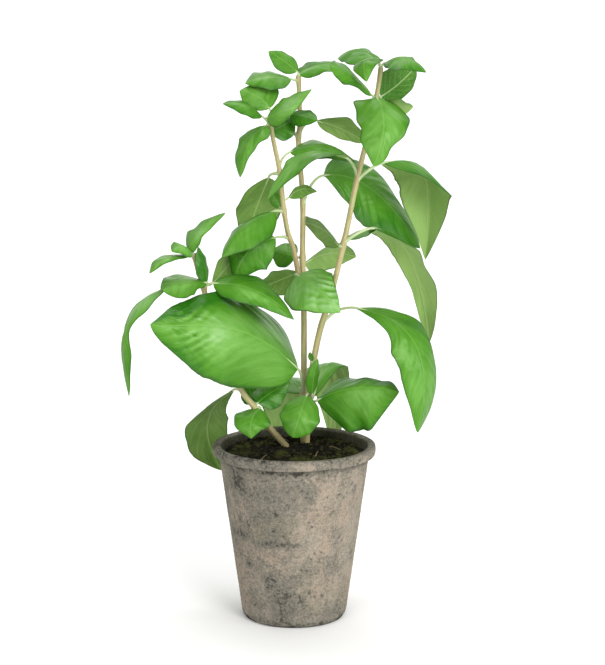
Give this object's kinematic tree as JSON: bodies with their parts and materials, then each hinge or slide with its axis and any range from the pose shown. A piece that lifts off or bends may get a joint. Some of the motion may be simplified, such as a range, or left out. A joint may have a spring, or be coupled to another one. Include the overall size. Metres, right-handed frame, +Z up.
{
  "type": "potted basil plant",
  "caption": "Bushy basil plant with long bare lower stems and drooping leaves, standing in a tall tapered clay pot filled with dark soil.",
  "frame": {"origin": "middle of the pot's base, on the ground, within 2 mm of the middle of the whole plant's width and depth", "axes": "+Z up along the pot's axis, front towards -Y, +X to the right of the picture"},
  "size_m": [0.2296, 0.1572, 0.4072],
  "materials": {
    "clay": "unglazed, weathered, matte",
    "soil": "loose damp potting soil, matte",
    "leaves": "fresh leaf, softly glossy",
    "stems": "fresh green stem, matte"
  },
  "bodies": {
    "root": {"pot": "clay", "soil": "soil", "right_leafy_stem": "leaves", "middle_leafy_stem": "leaves", "left_leafy_stem": "leaves"}
  },
  "joints": []
}
